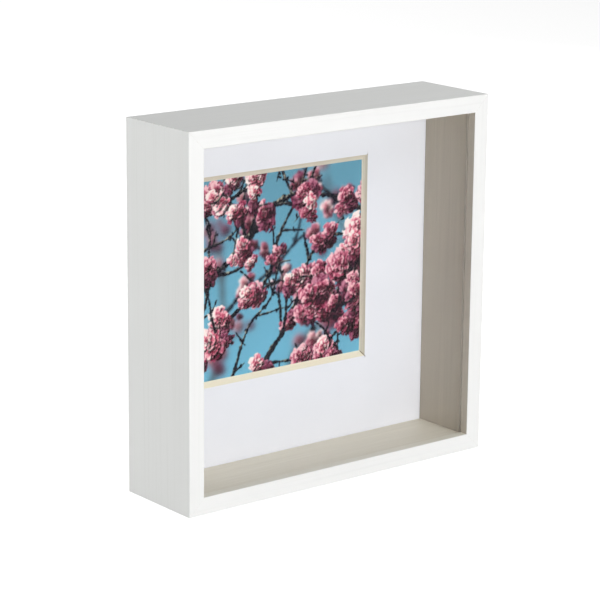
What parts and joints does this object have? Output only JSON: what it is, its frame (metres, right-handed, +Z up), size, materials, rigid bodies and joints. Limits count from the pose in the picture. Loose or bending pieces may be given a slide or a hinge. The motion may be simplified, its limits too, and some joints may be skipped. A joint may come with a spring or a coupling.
{
  "type": "shadow box",
  "caption": "Square deep-sided shadow box: white mitred frame, glass front, spacer-lined cavity, bevelled mat with a small square print, and a back panel held by bendable tabs.",
  "frame": {"origin": "middle of the underside's box: centred left to right and front to back, on the surface that the frame stands on", "axes": "+Z up, +X to the right as seen from the front, -Y is the direction that the glass front faces, +Y is the wall side"},
  "size_m": [0.22, 0.06, 0.22],
  "materials": {
    "white_foil": "satin white foil with fine embossed grain over board",
    "clear_glass": "clear float glass",
    "spacer_wood": "off-white painted wood strip with lengthwise grain",
    "mat_paper": "matt white mat board with a cream core",
    "print_paper": "semi-gloss printed paper",
    "paper_tape": "matt gummed paper tape",
    "hardboard": "smooth brown hardboard",
    "zinc_steel": "zinc-plated strip steel",
    "nickel_steel": "bright nickel-plated steel"
  },
  "bodies": {
    "frame": {"rail_bottom": "white_foil", "rail_left": "white_foil", "rail_top": "white_foil", "rail_right": "white_foil", "corner_v_nails": "zinc_steel", "glass_pane": "clear_glass", "spacer_bottom": "spacer_wood", "spacer_left": "spacer_wood", "spacer_top": "spacer_wood", "spacer_right": "spacer_wood", "mat_board": "mat_paper", "photo_print": "print_paper", "print_tape": "paper_tape", "back_panel": "hardboard", "tab_anchors": "zinc_steel", "hanger_strap": "nickel_steel", "hanger_rivets": "nickel_steel"},
    "tab_bottom_left": {"tab_bottom_left": "zinc_steel"},
    "tab_bottom_right": {"tab_bottom_right": "zinc_steel"},
    "tab_left_lower": {"tab_left_lower": "zinc_steel"},
    "tab_left_upper": {"tab_left_upper": "zinc_steel"},
    "tab_top_left": {"tab_top_left": "zinc_steel"},
    "tab_top_right": {"tab_top_right": "zinc_steel"},
    "tab_right_lower": {"tab_right_lower": "zinc_steel"},
    "tab_right_upper": {"tab_right_upper": "zinc_steel"},
    "ring": {"hanger_ring": "nickel_steel"}
  },
  "joints": [
    {"name": "tab_bottom_left_bend", "type": "hinge", "parent": "frame", "child": "tab_bottom_left", "pos_m": [-0.055, 0.0225, 0.0075], "axis": [-1, 0, 0], "range_deg": [0, 80]},
    {"name": "tab_bottom_right_bend", "type": "hinge", "parent": "frame", "child": "tab_bottom_right", "pos_m": [0.055, 0.0225, 0.0075], "axis": [-1, 0, 0], "range_deg": [0, 80]},
    {"name": "tab_left_lower_bend", "type": "hinge", "parent": "frame", "child": "tab_left_lower", "pos_m": [-0.1025, 0.0225, 0.055], "axis": [0, 0, 1], "range_deg": [0, 80]},
    {"name": "tab_left_upper_bend", "type": "hinge", "parent": "frame", "child": "tab_left_upper", "pos_m": [-0.1025, 0.0225, 0.165], "axis": [0, 0, 1], "range_deg": [0, 80]},
    {"name": "tab_top_left_bend", "type": "hinge", "parent": "frame", "child": "tab_top_left", "pos_m": [-0.055, 0.0225, 0.2125], "axis": [1, 0, 0], "range_deg": [0, 80]},
    {"name": "tab_top_right_bend", "type": "hinge", "parent": "frame", "child": "tab_top_right", "pos_m": [0.055, 0.0225, 0.2125], "axis": [1, 0, 0], "range_deg": [0, 80]},
    {"name": "tab_right_lower_bend", "type": "hinge", "parent": "frame", "child": "tab_right_lower", "pos_m": [0.1025, 0.0225, 0.055], "axis": [0, 0, -1], "range_deg": [0, 80]},
    {"name": "tab_right_upper_bend", "type": "hinge", "parent": "frame", "child": "tab_right_upper", "pos_m": [0.1025, 0.0225, 0.165], "axis": [0, 0, -1], "range_deg": [0, 80]},
    {"name": "ring_swing", "type": "hinge", "parent": "frame", "child": "ring", "pos_m": [0, 0.02387, 0.194], "axis": [1, 0, 0], "range_deg": [-3, 183]}
  ]
}
